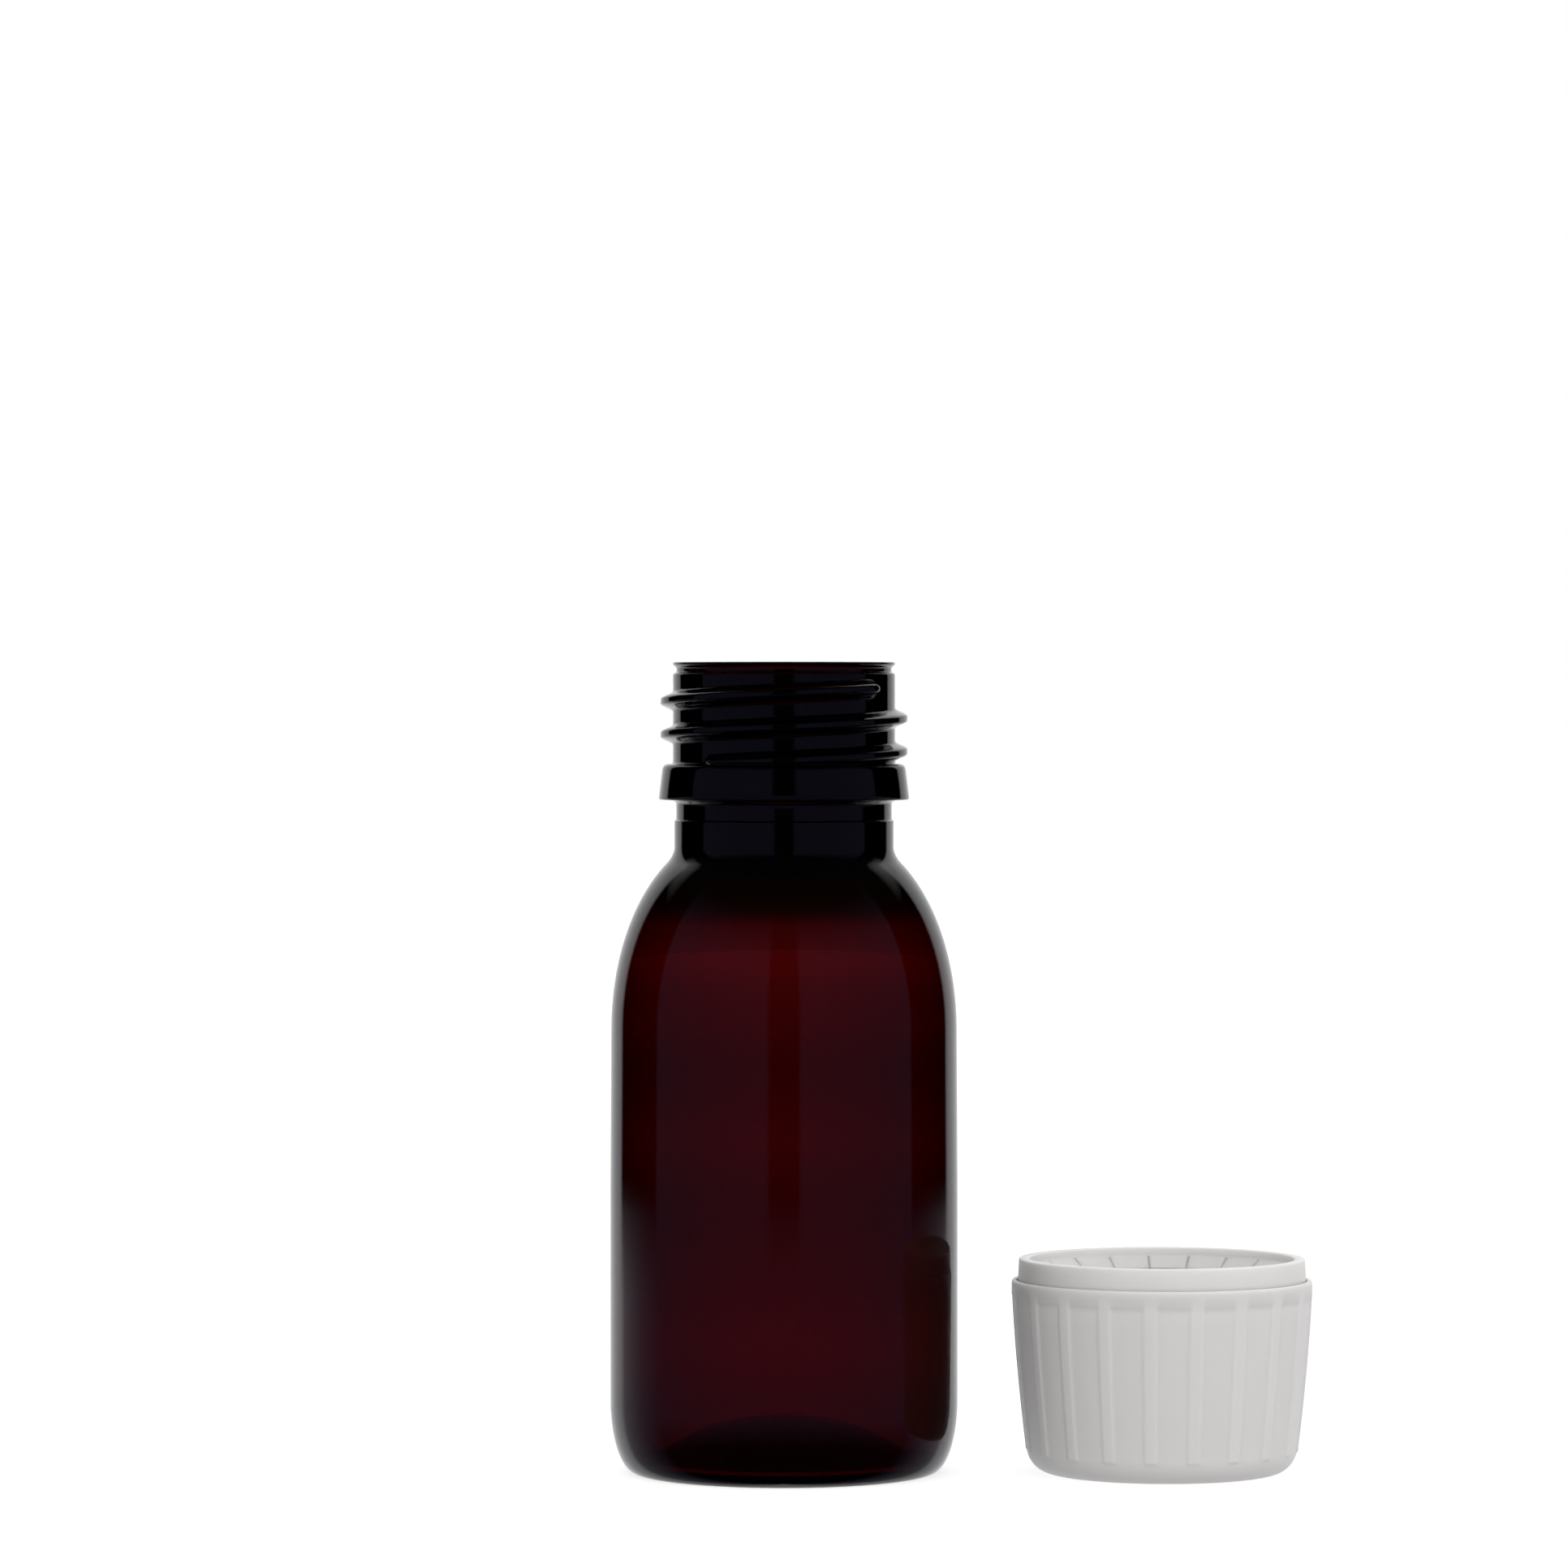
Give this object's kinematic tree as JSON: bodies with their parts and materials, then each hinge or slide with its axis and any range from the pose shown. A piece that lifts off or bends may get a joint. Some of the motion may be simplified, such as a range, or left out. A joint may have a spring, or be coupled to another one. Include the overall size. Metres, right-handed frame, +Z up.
{
  "type": "prescription vial",
  "caption": "Amber screw-neck medicine bottle with a ribbed push-and-turn closure standing crown down beside it.",
  "frame": {"origin": "on the ground, in the middle of the footprint of the bottle and the closure beside it", "axes": "+Z up along the bottle's axis, +X from the bottle towards the closure, -Y towards the viewer"},
  "size_m": [0.0784, 0.0388, 0.0904],
  "materials": {
    "amber_bottle": "clear dark amber polyester, polished",
    "natural_shell": "natural translucent polypropylene, fine satin",
    "cap_white": "white polypropylene",
    "liner_foam": "foamed polyethylene, soft",
    "spring_natural": "natural polypropylene",
    "band_natural": "natural translucent polypropylene, fine satin"
  },
  "bodies": {
    "bottle": {"bottle": "amber_bottle"},
    "outer_shell": {"outer_shell": "natural_shell"},
    "spring_disc": {"spring_disc": "spring_natural"},
    "inner_cap": {"inner_cap": "cap_white", "liner": "liner_foam"},
    "tamper_band": {"tamper_band": "band_natural"}
  },
  "joints": [
    {"name": "closure_lift", "type": "slide", "parent": "bottle", "child": "outer_shell", "axis": [0, 0, 1], "range_m": [0, 0.12]},
    {"name": "shell_push", "type": "slide", "parent": "outer_shell", "child": "spring_disc", "axis": [0, 0, -1], "range_m": [0, 0.001], "stiffness_N_per_m": 6000, "deforming": ["spring_disc"]},
    {"name": "shell_spin", "type": "hinge", "parent": "spring_disc", "child": "inner_cap", "pos_m": [0.02242, 0, 0], "axis": [0, 0, 1], "continuous": true},
    {"name": "band_breakaway", "type": "slide", "parent": "inner_cap", "child": "tamper_band", "axis": [0, 0, 1], "range_m": [0, 0.03]}
  ]
}
